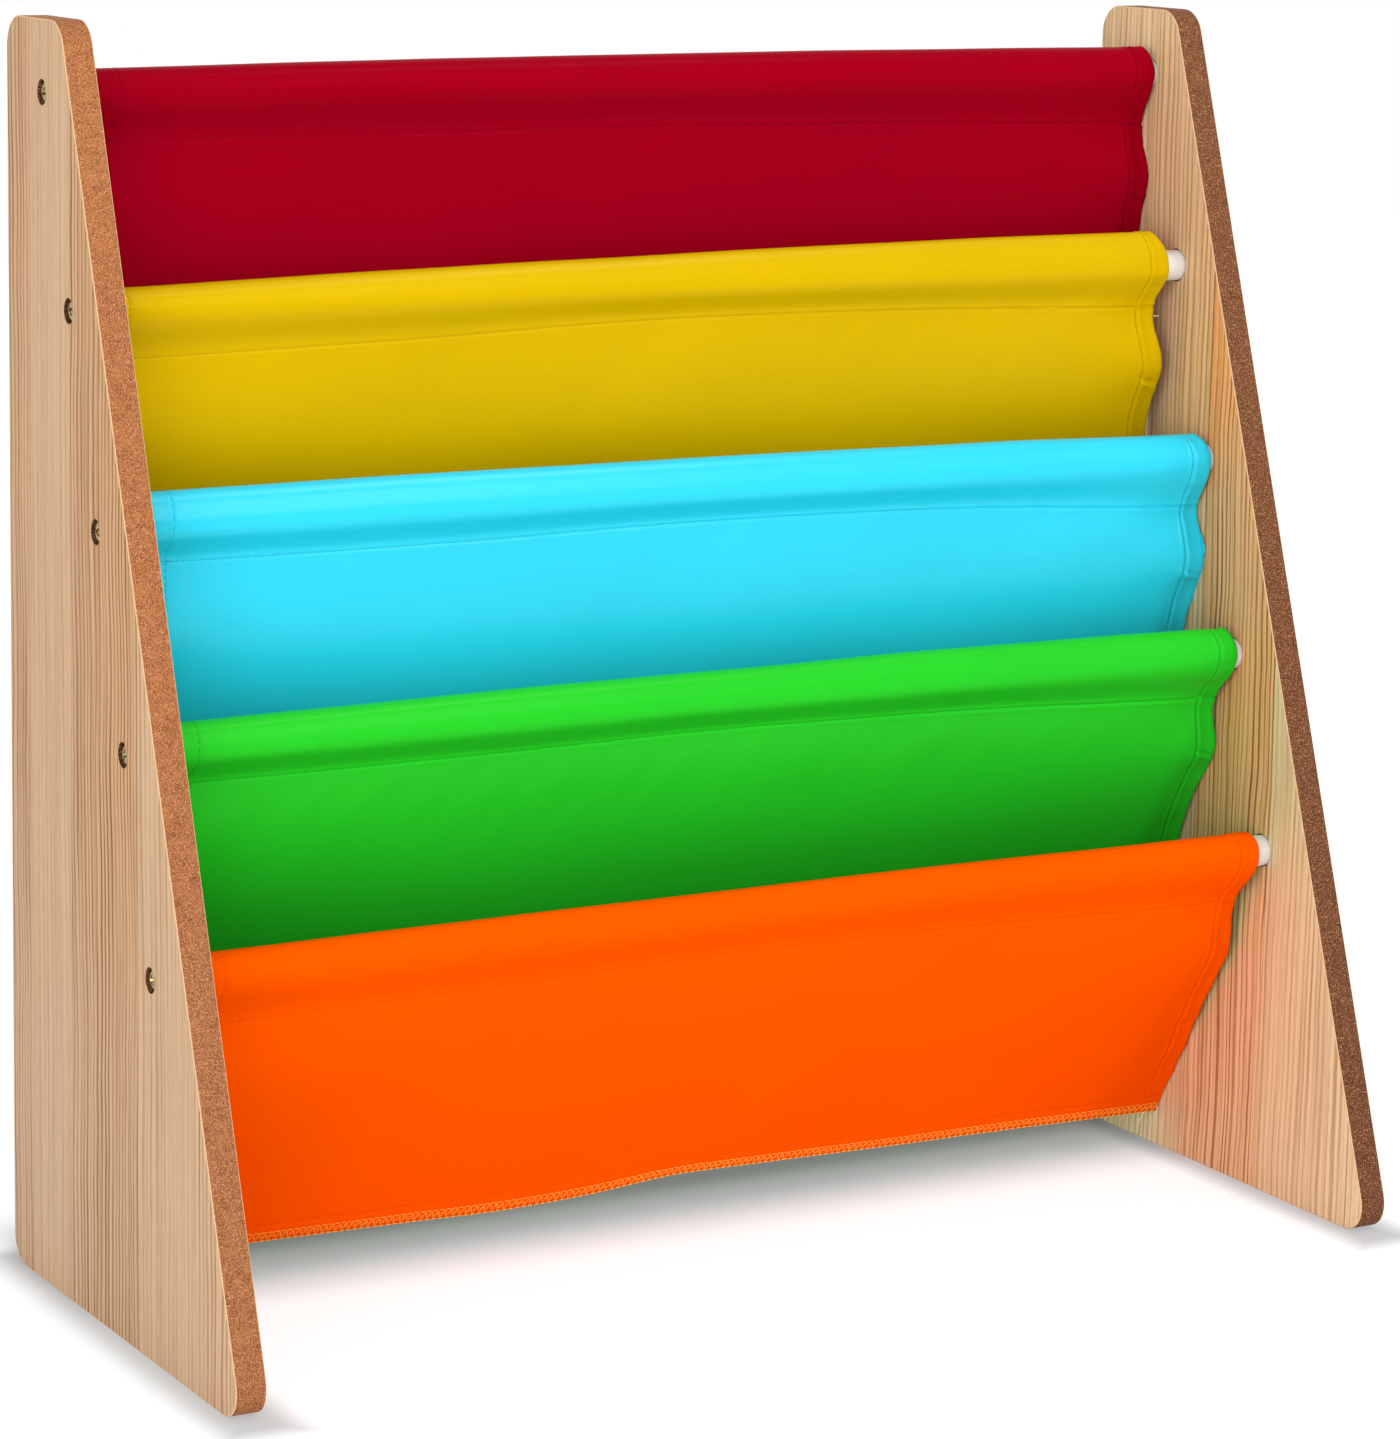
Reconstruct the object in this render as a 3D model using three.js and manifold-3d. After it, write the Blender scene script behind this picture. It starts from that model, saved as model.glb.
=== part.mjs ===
import * as THREE from 'three';
import { mergeVertices } from 'three/addons/utils/BufferGeometryUtils.js';
import Module from 'manifold-3d';

// Sling bookshelf: two sloping side panels, five rods screwed between them, and five cloth slings
// that hang from the rods and are sewn into four pockets.
// Millimetres. +X runs across the shelf, +Y from its front to its back, +Z up from the floor.

// Side panels, seen from the side: depths are measured to the corners before they are rounded
const shelfWidth = 640;
const shelfHeight = 610;
const footDepth = 272;
const topDepth = 66;
const boardThickness = 15;
const cornerRadius = 15;
const edgeEase = 0.6;
const cornerSteps = 6;

// Rods, which follow the sloping front edge
const rodCount = 5;
const rodDiameter = 16;
const rodChamfer = 0.8;
const topRodDrop = 34;
const lowRodHeight = 181;
const topRodInset = 34;
const lowRodInset = 41;
const rodSides = 24;

// Drilling of the panels: a socket for the rod inside, a sunk seat for the screw outside
const socketDepth = 7;
const socketClearance = 0.7;
const headSeatDepth = 4.2;
const headSeatClearance = 0.4;
const shankClearance = 0.35;
const seatGap = 0.3;
const drillSides = 20;
const cutOverrun = 1;

// Screws and the threaded inserts that they grip
const screwDiameter = 5.9;
const screwGrip = 16;
const screwTipChamfer = 1.2;
const headDiameter = 11.6;
const headHeight = 3.2;
const headRim = 1.1;
const headSteps = 3;
const recessWidth = 1.5;
const recessSpan = 6.2;
const recessDepth = 2;
const screwSides = 16;
const insertDiameter = 9.6;
const insertLength = 15;
const insertClearance = 0.3;
const boreReserve = 4;
const insertSides = 16;

// Slings
const clothThickness = 1.2;
const slingSidePlay = 5;
const casingEase = 0.5;
const casingDepth = 24;
const floorGap = 20;
const seamAllowance = 10;
const clothGap = 0.3;
const hemNip = 5;
const hemBulge = 7;
const rippleReach = 42;
const casingArcSteps = 10;
const panelLevels = 4;
const tailLevels = 3;
const clothSteps = 14;
// How the empty slings hang: slope of each below its casing, and how far each pocket's bottom seam
// lies behind the rod in front of it, as shares of the fall
const leanShares = [0.09, 0.016, -0.004, 0.28, 0.32];
const setbackShares = [0.083, 0.137, 0.336, 0.514];
// Where each sling has slid to on its rod, as shares of its side play (1 touches the right panel)
const slideShares = [0.75, -0.9, 0.75, 0.6, 0.4];
// How high the folded crest of each casing stands, as shares of a round one, and how much of that it
// gains towards the right end and loses towards the left
const crestShares = [1.31, 1.49, 1.48, 1.48, 1.04];
const crestTiltShares = [0.18, 0.44, 0, 0.14, 0.06];
// Ripple of the hems: how much each sling has of the nip and the bulge, and the centre and width of
// both, as shares of the casing's depth
const nipShares = [0, 0.5, 0.9, 0.7, 0.55];
const bulgeShares = [1.4, 1.15, 1.05, 1.05, 0.5];
const nipCentreShare = 1.22;
const nipWidthShare = 0.32;
const bulgeCentreShare = 2.2;
const bulgeWidthShare = 0.49;
const rippleEndShare = 2.85;
const hemCrowdingShare = 1.8;

const paint = {
  panel: new THREE.MeshStandardMaterial({ color: 0xd2ab80, roughness: 0.55, metalness: 0 }),
  rod: new THREE.MeshStandardMaterial({ color: 0xf0efec, roughness: 0.35, metalness: 0 }),
  insert: new THREE.MeshStandardMaterial({ color: 0xc7a86a, roughness: 0.4, metalness: 1 }),
  screw: new THREE.MeshStandardMaterial({ color: 0x8e7a55, roughness: 0.4, metalness: 1 }),
};
const slings = [
  { name: 'sling_red', color: 0xa80020 },
  { name: 'sling_yellow', color: 0xd4b000 },
  { name: 'sling_blue', color: 0x38d4f4 },
  { name: 'sling_green', color: 0x26be26 },
  { name: 'sling_orange', color: 0xff5a00 },
];

const wasm = await Module();
wasm.setup();

// Merges shared vertices and drops the collapsed triangles that a lathe leaves on its axis
function welded(geometry) {
  const bare = geometry.clone();
  bare.deleteAttribute('normal');
  bare.deleteAttribute('uv');
  const merged = mergeVertices(bare);
  const corners = Array.from(merged.index.array);
  const kept = [];
  for (let i = 0; i < corners.length; i += 3) {
    const [a, b, c] = corners.slice(i, i + 3);
    if (a !== b && b !== c && c !== a) kept.push(a, b, c);
  }
  merged.setIndex(kept);
  return merged;
}

function toSolid(geometry) {
  const closed = welded(geometry);
  return new wasm.Manifold(new wasm.Mesh({
    numProp: 3,
    vertProperties: new Float32Array(closed.attributes.position.array),
    triVerts: new Uint32Array(closed.index.array),
  }));
}

function toGeometry(solid) {
  const mesh = solid.getMesh();
  const geometry = new THREE.BufferGeometry();
  geometry.setAttribute('position', new THREE.BufferAttribute(mesh.vertProperties, 3));
  geometry.setIndex(new THREE.BufferAttribute(mesh.triVerts, 1));
  return geometry;
}

// A lathe about the X axis from [place along X, radius] pairs; side 1 points it along +X
function turned(profile, sides, side = 1) {
  const points = profile.map(([along, radius]) => new THREE.Vector2(radius, along));
  const geometry = new THREE.LatheGeometry(points, sides);
  geometry.rotateZ(-side * Math.PI / 2);
  return welded(geometry);
}

// An outline drawn in side view (Y, Z) and extruded along X
function fromSideView(geometry) {
  const [across, back, up] = [0, 1, 2].map((axis) => new THREE.Vector3().setComponent(axis, 1));
  return geometry.applyMatrix4(new THREE.Matrix4().makeBasis(back, up, across));
}

// Side panels
const frontSlope = (footDepth - topDepth) / shelfHeight;
const panelCorners = [
  new THREE.Vector2(0, 0),
  new THREE.Vector2(footDepth, 0),
  new THREE.Vector2(footDepth, shelfHeight),
  new THREE.Vector2(footDepth - topDepth, shelfHeight),
];

function roundedCorner(before, corner, after) {
  const inward = before.clone().sub(corner).normalize();
  const outward = after.clone().sub(corner).normalize();
  const halfAngle = Math.acos(inward.dot(outward)) / 2;
  const bisector = inward.clone().add(outward).normalize();
  const centre = corner.clone().addScaledVector(bisector, cornerRadius / Math.sin(halfAngle));
  const reach = cornerRadius / Math.tan(halfAngle);
  const from = corner.clone().addScaledVector(inward, reach).sub(centre).angle();
  const sweep = Math.PI - 2 * halfAngle;
  return Array.from({ length: cornerSteps + 1 }, (_, i) => {
    const angle = from + sweep * i / cornerSteps;
    return new THREE.Vector2(Math.cos(angle), Math.sin(angle)).multiplyScalar(cornerRadius).add(centre);
  });
}

const panelOutline = panelCorners.flatMap((corner, i) => {
  const before = panelCorners.at(i - 1);
  const after = panelCorners[(i + 1) % panelCorners.length];
  return roundedCorner(before, corner, after);
});
const panelSpan = new THREE.Box2().setFromPoints(panelOutline);

function rodPlace(index) {
  const share = index / (rodCount - 1);
  const z = THREE.MathUtils.lerp(shelfHeight - topRodDrop, lowRodHeight, share);
  const inset = THREE.MathUtils.lerp(topRodInset, lowRodInset, share);
  return { y: z * frontSlope + inset, z };
}
const rodPlaces = Array.from({ length: rodCount }, (_, index) => rodPlace(index));

const rodRadius = rodDiameter / 2;
const screwRadius = screwDiameter / 2;
const headRadius = headDiameter / 2;
const insertRadius = insertDiameter / 2;
const shankBore = screwRadius + shankClearance;
const outerFace = shelfWidth / 2;
const innerFace = outerFace - boardThickness;
const socketFloor = boardThickness - socketDepth;
const clothWidth = 2 * (innerFace - slingSidePlay);

// The stepped hole of one rod end, from the outer face inward
function steppedDrill(side) {
  const headSeat = headRadius + headSeatClearance;
  const socket = rodRadius + socketClearance;
  const profile = [
    [-cutOverrun, 0], [-cutOverrun, headSeat], [headSeatDepth, headSeat], [headSeatDepth, shankBore],
    [socketFloor, shankBore], [socketFloor, socket], [boardThickness + cutOverrun, socket],
    [boardThickness + cutOverrun, 0],
  ];
  return turned(profile, drillSides, side);
}

function sidePanel(side) {
  const blank = fromSideView(new THREE.ExtrudeGeometry(new THREE.Shape(panelOutline), {
    depth: boardThickness - 2 * edgeEase,
    bevelThickness: edgeEase,
    bevelSize: edgeEase,
    bevelOffset: -edgeEase,
    bevelSegments: 1,
  }));
  blank.translate(-boardThickness / 2 + edgeEase, 0, 0);
  blank.translate(-side * (outerFace - boardThickness / 2), 0, 0);
  let panel = toSolid(blank);
  for (const { y, z } of rodPlaces) {
    const drill = steppedDrill(side).translate(-side * outerFace, y, z);
    panel = panel.subtract(toSolid(drill));
  }
  return toGeometry(panel);
}

// Rods, with a bore in each end for the insert and the screw's tip
const rodLength = shelfWidth - 2 * (socketFloor + seatGap);
const boreRadius = insertRadius + insertClearance;
const boreDepth = Math.max(insertLength + seatGap, screwGrip) + boreReserve;

function rodGeometry() {
  const end = rodLength / 2;
  const half = [
    [end - boreDepth, 0], [end - boreDepth, boreRadius], [end, boreRadius],
    [end, rodRadius - rodChamfer], [end - rodChamfer, rodRadius],
  ];
  const mirrored = half.map(([along, radius]) => [-along, radius]);
  return turned([...mirrored, ...half.reverse()], rodSides);
}

// Threaded insert, its mouth just below the rod's end face
function insertGeometry(side) {
  const mouth = socketFloor + 2 * seatGap;
  const bore = screwRadius + insertClearance;
  const profile = [
    [mouth, bore], [mouth, insertRadius], [mouth + insertLength, insertRadius],
    [mouth + insertLength, bore], [mouth, bore],
  ];
  return turned(profile, insertSides, side);
}

// Screw: domed head with a cross recess, seated on the floor of its counterbore
function screwGeometry(side) {
  const seat = headSeatDepth - seatGap;
  const crown = seat - headHeight;
  const tip = socketFloor + screwGrip;
  const dome = Array.from({ length: headSteps + 1 }, (_, i) => {
    const angle = (Math.PI / 2) * i / headSteps;
    return [seat - headRim - (headHeight - headRim) * Math.cos(angle), headRadius * Math.sin(angle)];
  });
  const profile = [
    ...dome, [seat, headRadius], [seat, screwRadius],
    [tip - screwTipChamfer, screwRadius], [tip, screwRadius - screwTipChamfer], [tip, 0],
  ];
  let screw = toSolid(turned(profile, screwSides, side));
  for (const [tall, wide] of [[recessSpan, recessWidth], [recessWidth, recessSpan]]) {
    const slot = new THREE.BoxGeometry(recessDepth + cutOverrun, tall, wide);
    slot.translate(side * (crown + (recessDepth - cutOverrun) / 2), 0, 0);
    screw = screw.subtract(toSolid(slot));
  }
  return toGeometry(screw);
}

// Slings. Each hangs as a curve y(z) below its rod and passes its pockets' bottom seams.
const pocketDepth = lowRodHeight - floorGap - seamAllowance;
const casingInner = rodRadius + casingEase;
const casingOuter = casingInner + clothThickness;
const seams = setbackShares.map((share, pocket) => {
  const rod = rodPlaces[pocket + 1];
  return { y: rod.y + share * pocketDepth, z: rod.z - pocketDepth };
});

function hermite(from, to, drop) {
  const run = from.z - to.z;
  const s = drop / run;
  const [s2, s3] = [s * s, s * s * s];
  return from.y * (2 * s3 - 3 * s2 + 1) + from.slope * run * (s3 - 2 * s2 + s)
    + to.y * (3 * s2 - 2 * s3) + to.slope * run * (s3 - s2);
}

function slopeBetween(upper, lower) {
  return (lower.y - upper.y) / (upper.z - lower.z);
}

// The middle line of one sling: place and slope at a height, and the heights that need a vertex
function hangLine(index, front) {
  const rod = rodPlaces[index];
  const lean = leanShares[index];
  const reach = casingDepth / Math.hypot(1, lean);
  const tip = { y: rod.y + lean * reach, z: rod.z - reach, slope: lean };
  const knots = [tip];
  const last = front
    ? { y: front.beside(seams[index].z), z: seams[index].z, slope: front.slope(seams[index].z) }
    : { ...seams[index - 1], slope: slopeBetween(tip, seams[index - 1]) };
  if (front && index > 0) {
    const seam = seams[index - 1];
    const slope = (slopeBetween(tip, seam) + slopeBetween(seam, last)) / 2;
    knots.push({ ...seam, slope });
  }
  knots.push(last);
  const y = (z) => {
    if (z >= tip.z) return tip.y - lean * (z - tip.z);
    if (z <= last.z) return front ? front.beside(z) : last.y + last.slope * (last.z - z);
    const i = knots.findIndex((knot, k) => k > 0 && z >= knot.z);
    return hermite(knots[i - 1], knots[i], knots[i - 1].z - z);
  };
  const probe = clothThickness / 2;
  const slope = (z) => (y(z - probe) - y(z + probe)) / (2 * probe);
  const halfCloth = (z) => clothThickness / 2 * Math.hypot(1, slope(z));
  const beside = (z) => y(z) + (clothThickness + clothGap) * Math.hypot(1, slope(z));
  return { rod, lean, tip, knots, y, slope, halfCloth, beside };
}

const hangLines = [];
for (let index = rodCount - 1; index >= 0; index -= 1) {
  hangLines[index] = hangLine(index, hangLines[index + 1]);
}

// Heights of the sling's vertices: along the ripple of its hems, then evenly down to each seam
function levels(line) {
  const middleShare = (nipCentreShare + bulgeCentreShare) / 2;
  const rippleShares = [nipCentreShare, middleShare, bulgeCentreShare, rippleEndShare];
  const heights = rippleShares.map((share) => line.rod.z - share * casingDepth);
  line.knots.slice(1).forEach((knot, i) => {
    const above = heights.at(-1);
    const steps = i === 0 ? panelLevels : tailLevels;
    for (let k = 1; k <= steps; k += 1) {
      heights.push(THREE.MathUtils.lerp(above, knot.z, k / steps));
    }
    heights.push(knot.z - seamAllowance);
  });
  return heights;
}

// Side view of a sling as rungs, pairs of points across the cloth: its casing goes round the rod from
// the seam and back to it, and its tail goes down from there
function slingRungs(line) {
  const pull = Math.atan(line.lean);
  const seamReach = Math.hypot(line.rod.z - line.tip.z, line.tip.y - line.rod.y);
  const opening = Math.acos(casingOuter / seamReach);
  const around = (radius, angle) => new THREE.Vector2(
    line.rod.y + radius * Math.sin(pull + angle),
    line.rod.z - radius * Math.cos(pull + angle),
  );
  const seamInside = around(seamReach * casingInner / casingOuter, 0);
  const neckReach = seamReach - clothThickness / 2 * Math.tan(opening);
  const neckAngle = clothThickness / 2 / neckReach;
  const neck = [around(neckReach, neckAngle), around(neckReach, -neckAngle)];
  const turns = Array.from({ length: casingArcSteps + 1 }, (_, i) => (
    opening + (2 * Math.PI - 2 * opening) * i / casingArcSteps
  ));
  const casing = [
    [seamInside, neck[0]],
    ...turns.map((angle) => [around(casingInner, angle), around(casingOuter, angle)]),
    [seamInside, neck[1]],
  ];
  const tail = levels(line).map((z) => (
    [1, -1].map((face) => new THREE.Vector2(line.y(z) + face * line.halfCloth(z), z))
  ));
  return { casing, tail: [neck, ...tail] };
}

function bump(drop, centreShare, widthShare) {
  const offset = (drop - centreShare * casingDepth) / (widthShare * casingDepth);
  return Math.exp(-offset * offset / 2);
}

// Where a point of the side view lies at one place across the cloth, from -1 at the left hem to 1
function clothPoint(index, point, share) {
  const fromHem = (1 - Math.abs(share)) * clothWidth / 2;
  const fade = Math.exp(-((fromHem / rippleReach) ** 2));
  const drop = rodPlaces[index].z - point.y;
  const nip = hemNip * nipShares[index] * bump(drop, nipCentreShare, nipWidthShare);
  const bulge = hemBulge * bulgeShares[index] * bump(drop, bulgeCentreShare, bulgeWidthShare);
  const crest = drop < 0 ? crestShares[index] + crestTiltShares[index] * share : 1;
  return [
    share * clothWidth / 2 + slideShares[index] * slingSidePlay,
    point.x + (nip - bulge) * fade,
    rodPlaces[index].z - crest * drop,
  ];
}

// The rungs repeated across the cloth, crowded towards its hems, and joined into one closed skin
function slingGeometry(index) {
  const { casing, tail } = slingRungs(hangLines[index]);
  const points = [...new Set([...casing, ...tail].flat())];
  const placeOf = new Map(points.map((point, i) => [point, i]));
  const outside = [
    ...casing.map(([, outer]) => outer),
    ...tail.slice(1).map(([, front]) => front),
    ...tail.slice(1).reverse().map(([back]) => back),
  ];
  const lining = casing.slice(1).map(([inner]) => inner).reverse();
  const between = (rungs) => rungs.slice(1).flatMap(([a, b], i) => {
    const [c, d] = rungs[i];
    return [c, d, b, c, b, a];
  });
  const section = [...between(casing), ...between(tail), casing[0][0], tail[0][1], tail[0][0]];

  const vertices = [];
  const corners = [];
  for (let step = 0; step <= clothSteps; step += 1) {
    const even = 2 * step / clothSteps - 1;
    const share = Math.sign(even) * (1 - (1 - Math.abs(even)) ** hemCrowdingShare);
    points.forEach((point) => vertices.push(...clothPoint(index, point, share)));
    if (step === clothSteps) break;
    const here = step * points.length;
    const next = here + points.length;
    for (const ring of [outside, lining]) {
      ring.forEach((point, i) => {
        const a = placeOf.get(point);
        const b = placeOf.get(ring[(i + 1) % ring.length]);
        corners.push(here + a, here + b, next + b, here + a, next + b, next + a);
      });
    }
  }
  const ends = section.map((point) => placeOf.get(point));
  corners.push(...ends.toReversed());
  corners.push(...ends.map((corner) => corner + clothSteps * points.length));
  const cloth = new THREE.BufferGeometry();
  cloth.setAttribute('position', new THREE.Float32BufferAttribute(vertices, 3));
  cloth.setIndex(corners);
  return cloth;
}

// Assembly: the origin is on the floor, midway between the panels' front and back
const shelf = new THREE.Group();
const shelfCentre = panelSpan.getCenter(new THREE.Vector2());
shelf.position.y = -shelfCentre.x;

function add(name, geometry, material, place = { y: 0, z: 0 }) {
  const mesh = new THREE.Mesh(geometry, material);
  mesh.name = name;
  mesh.position.set(place.x ?? 0, place.y, place.z);
  shelf.add(mesh);
}

const sides = [['left', 1], ['right', -1]];
for (const [sideName, side] of sides) {
  add(`side_panel_${sideName}`, sidePanel(side), paint.panel);
}
rodPlaces.forEach((place, index) => {
  const number = index + 1;
  add(`rod_${number}`, rodGeometry(), paint.rod, place);
  for (const [sideName, side] of sides) {
    const end = { ...place, x: -side * outerFace };
    add(`insert_${number}_${sideName}`, insertGeometry(side), paint.insert, end);
    add(`screw_${number}_${sideName}`, screwGeometry(side), paint.screw, end);
  }
});
slings.forEach(({ name, color }, index) => {
  const cloth = new THREE.MeshStandardMaterial({ color, roughness: 0.6, metalness: 0 });
  add(name, slingGeometry(index), cloth);
});

export default shelf;
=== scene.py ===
import bmesh
import bpy
import math
import random
from bisect import bisect_left
from mathutils import Matrix, Vector, noise


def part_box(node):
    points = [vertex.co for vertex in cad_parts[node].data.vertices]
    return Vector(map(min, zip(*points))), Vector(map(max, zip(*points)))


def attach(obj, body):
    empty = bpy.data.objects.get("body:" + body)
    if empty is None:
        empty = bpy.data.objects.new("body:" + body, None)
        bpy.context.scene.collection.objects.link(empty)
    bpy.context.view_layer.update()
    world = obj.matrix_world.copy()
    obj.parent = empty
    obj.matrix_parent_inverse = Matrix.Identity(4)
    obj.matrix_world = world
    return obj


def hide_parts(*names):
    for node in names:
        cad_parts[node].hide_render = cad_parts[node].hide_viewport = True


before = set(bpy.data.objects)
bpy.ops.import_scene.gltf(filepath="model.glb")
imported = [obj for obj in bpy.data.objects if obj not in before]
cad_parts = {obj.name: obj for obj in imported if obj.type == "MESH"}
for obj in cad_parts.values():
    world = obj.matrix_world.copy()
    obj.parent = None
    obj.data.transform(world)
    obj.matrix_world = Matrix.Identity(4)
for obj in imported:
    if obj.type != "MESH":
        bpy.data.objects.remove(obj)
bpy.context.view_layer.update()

# Camera: a long lens, low in front of the shelf and to its left, looking slightly down. The photograph
# was cropped off its lens axis, so the lens carries that small shift.
MM = 0.001
photo_width, photo_height = 1400, 1439
focal_pixels = 4643.44
axis_across, axis_down = 658.61, 606.97
turn_right, tilt_down, roll = 0.5131, 0.1750, 0.0180

lens = bpy.data.cameras.new("camera")
lens.sensor_width = 36
lens.lens = focal_pixels / photo_height * lens.sensor_width
lens.shift_x = (photo_width / 2 - axis_across) / photo_height
lens.shift_y = (axis_down - photo_height / 2) / photo_height
lens.clip_end = 100
camera = bpy.data.objects.new("camera", lens)
aim = Matrix.Rotation(-turn_right, 4, "Z") @ Matrix.Rotation(math.pi / 2 - tilt_down, 4, "X")
place = Matrix.Translation((-1128.54 * MM, -1937.70 * MM, 721.04 * MM))
camera.matrix_world = place @ aim @ Matrix.Rotation(roll, 4, "Z")
bpy.context.scene.collection.objects.link(camera)
bpy.context.scene.camera = camera


# Studio: a white floor that runs out of view, which the camera sees as pure white except for the faint real
# shadow of its dim diffuse part and a shadow painted under the slings and beside the panels' feet. Nothing
# here belongs to the object.
def linear(red, green, blue):
    """A colour given as it shows on screen, 0 to 255, as Blender's own linear colour."""
    shares = (level / 255 for level in (red, green, blue))
    return tuple(s / 12.92 if s <= 0.04045 else ((s + 0.055) / 1.055) ** 2.4 for s in shares) + (1,)


class Finish:
    """One material and its nodes, or the world's."""

    def __init__(self, name, owner=None):
        self.owner = owner or bpy.data.materials.new(name)
        self.owner.use_nodes = True
        self.tree = self.owner.node_tree
        self.tree.nodes.clear()

    def node(self, kind, sockets=None, **settings):
        """Any node: its settings are set first, then the values or links of its sockets."""
        made = self.tree.nodes.new(kind)
        for name, value in settings.items():
            if name == "stops":
                ramp = made.color_ramp.elements
                while len(ramp) < len(value):
                    ramp.new(1)
                for stop, (at, level) in zip(ramp, value):
                    stop.position, stop.color = at, (level, level, level, 1)
            else:
                setattr(made, name, value)
        for name, value in (sockets or {}).items():
            if isinstance(value, Level):
                self.tree.links.new(value.socket, made.inputs[name])
            else:
                made.inputs[name].default_value = value
        return made

    def level(self, made, output=0):
        return Level(self, made.outputs[output])

    def place(self):
        """Where a point lies on its object, in metres."""
        return self.level(self.node("ShaderNodeTexCoord"), "Object")

    def parts(self, vector):
        """The X, Y and Z of a vector."""
        split = self.node("ShaderNodeSeparateXYZ", {0: vector})
        return [self.level(split, axis) for axis in "XYZ"]

    def noise(self, vector, scale, detail=2.0, roughness=0.5):
        sockets = {"Vector": vector, "Scale": scale, "Detail": detail, "Roughness": roughness}
        return self.level(self.node("ShaderNodeTexNoise", sockets))

    def streaks(self, x, y, z, detail=2.0):
        """Noise at a place that has been stretched along its axes."""
        place = self.node("ShaderNodeCombineXYZ", {"X": x, "Y": y, "Z": z})
        return self.noise(self.level(place), 1.0, detail)

    def math(self, operation, *values):
        return self.level(self.node("ShaderNodeMath", dict(enumerate(values)), operation=operation))

    def mix(self, share, first, second, blend="MIX"):
        sockets = {0: share, 6: first, 7: second}
        return self.level(self.node("ShaderNodeMix", sockets, data_type="RGBA", blend_type=blend), 2)

    def bump(self, height, strength, distance):
        sockets = {"Height": height, "Strength": strength, "Distance": distance}
        return self.level(self.node("ShaderNodeBump", sockets))

    def finish(self, shader, kind="ShaderNodeOutputMaterial"):
        self.tree.links.new(shader.outputs[0], self.node(kind).inputs["Surface"])
        return self.owner

    def surface(self, sockets):
        return self.finish(self.node("ShaderNodeBsdfPrincipled", sockets))


def both_ways(operation):
    """An operator between a value and another, and its reflected form."""
    return (
        lambda self, other: self.finish.math(operation, self, other),
        lambda self, other: self.finish.math(operation, other, self),
    )


class Level:
    """One value in a material: sums written with it become Math nodes."""
    __add__, __radd__ = both_ways("ADD")
    __sub__, __rsub__ = both_ways("SUBTRACT")
    __mul__, __rmul__ = both_ways("MULTIPLY")
    __truediv__, __rtruediv__ = both_ways("DIVIDE")

    def __init__(self, finish, socket):
        self.finish, self.socket = finish, socket

    def math(self, operation, *others):
        return self.finish.math(operation, self, *others)

    def between(self, low, high):
        """0 below low, 1 above high, smooth between them."""
        sockets = {"Value": self, "From Min": low, "From Max": high}
        made = self.finish.node("ShaderNodeMapRange", sockets, interpolation_type="SMOOTHSTEP")
        return self.finish.level(made)


def seen_white(finish):
    """1 for what the camera sees directly, in a gloss or through glass, 0 for light on the object."""
    rays = finish.node("ShaderNodeLightPath")
    seen = finish.level(rays, "Is Camera Ray").math("MAXIMUM", finish.level(rays, "Is Glossy Ray"))
    return seen.math("MAXIMUM", finish.level(rays, "Is Transmission Ray"))


floor_paint = Finish("studio_floor")
floor_place = floor_paint.place()
floor_x, floor_y, _ = floor_paint.parts(floor_place)
aside = floor_x.math("ABSOLUTE")
from_shelf = floor_paint.level(
    floor_paint.node("ShaderNodeVectorMath", {0: floor_place}, operation="LENGTH"), "Value"
)
# a shadow is painted into the floor: its lift is held back under the slings and close beside the panels' feet
beneath = (1 - aside.between(0.30, 0.33)) * (1 - floor_y.between(0.11, 0.21))
painted_shadow = beneath * (floor_y.between(0.0, 0.078) * 0.58 + floor_y.between(0.072, 0.105) * 0.17)
foot_x, half_foot, foot_y, half_depth = 0.3125, 0.0075, -0.003, 0.136
beside_foot = (aside - foot_x).math("ABSOLUTE") - half_foot
past_foot = (floor_y - foot_y).math("ABSOLUTE") - half_depth
foot_gap = beside_foot.math("MAXIMUM", past_foot).math("MAXIMUM", 0.0)
lift = from_shelf.between(0.5, 1.2) * 0.1 + 0.86 - painted_shadow
seen = seen_white(floor_paint)
floor_diffuse = floor_paint.node("ShaderNodeBsdfDiffuse", {
    "Color": floor_paint.mix(seen, (0.95, 0.95, 0.95, 1), (0.2, 0.2, 0.2, 1)),
})
# halving the lift beside the panels' feet paints a contact shadow there
floor_lift = floor_paint.node("ShaderNodeEmission", {
    "Color": (1, 1, 1, 1),
    "Strength": seen * lift * (foot_gap.between(0.0, 0.022) * 0.5 + 0.5),
})
floor_sum = floor_paint.node("ShaderNodeAddShader")
for socket, shader in enumerate((floor_diffuse, floor_lift)):
    floor_paint.tree.links.new(shader.outputs[0], floor_sum.inputs[socket])
bpy.ops.mesh.primitive_plane_add(size=9, location=(0, 0, -0.2 * MM))
floor = bpy.context.object
floor.name = "studio_floor"
floor.data.materials.append(floor_paint.finish(floor_sum))

world = bpy.data.worlds.new("studio")
bpy.context.scene.world = world
air = Finish("studio", world)
ambient = 0.7
air.finish(air.node("ShaderNodeBackground", {
    "Color": (1, 1, 1, 1),
    "Strength": ambient + seen_white(air) * (1 - ambient),
}), "ShaderNodeOutputWorld")
bpy.context.scene.view_settings.view_transform = "Standard"


def softbox(name, width, length, position, target, power):
    """A diffused lamp at a position, in metres, turned to a target."""
    lamp = bpy.data.lights.new(name, "AREA")
    lamp.shape, lamp.size, lamp.size_y, lamp.energy = "RECTANGLE", width, length, power
    holder = bpy.data.objects.new(name, lamp)
    facing = (Vector(target) - Vector(position)).to_track_quat("-Z", "Y")
    holder.matrix_world = Matrix.Translation(position) @ facing.to_matrix().to_4x4()
    bpy.context.scene.collection.objects.link(holder)


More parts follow.
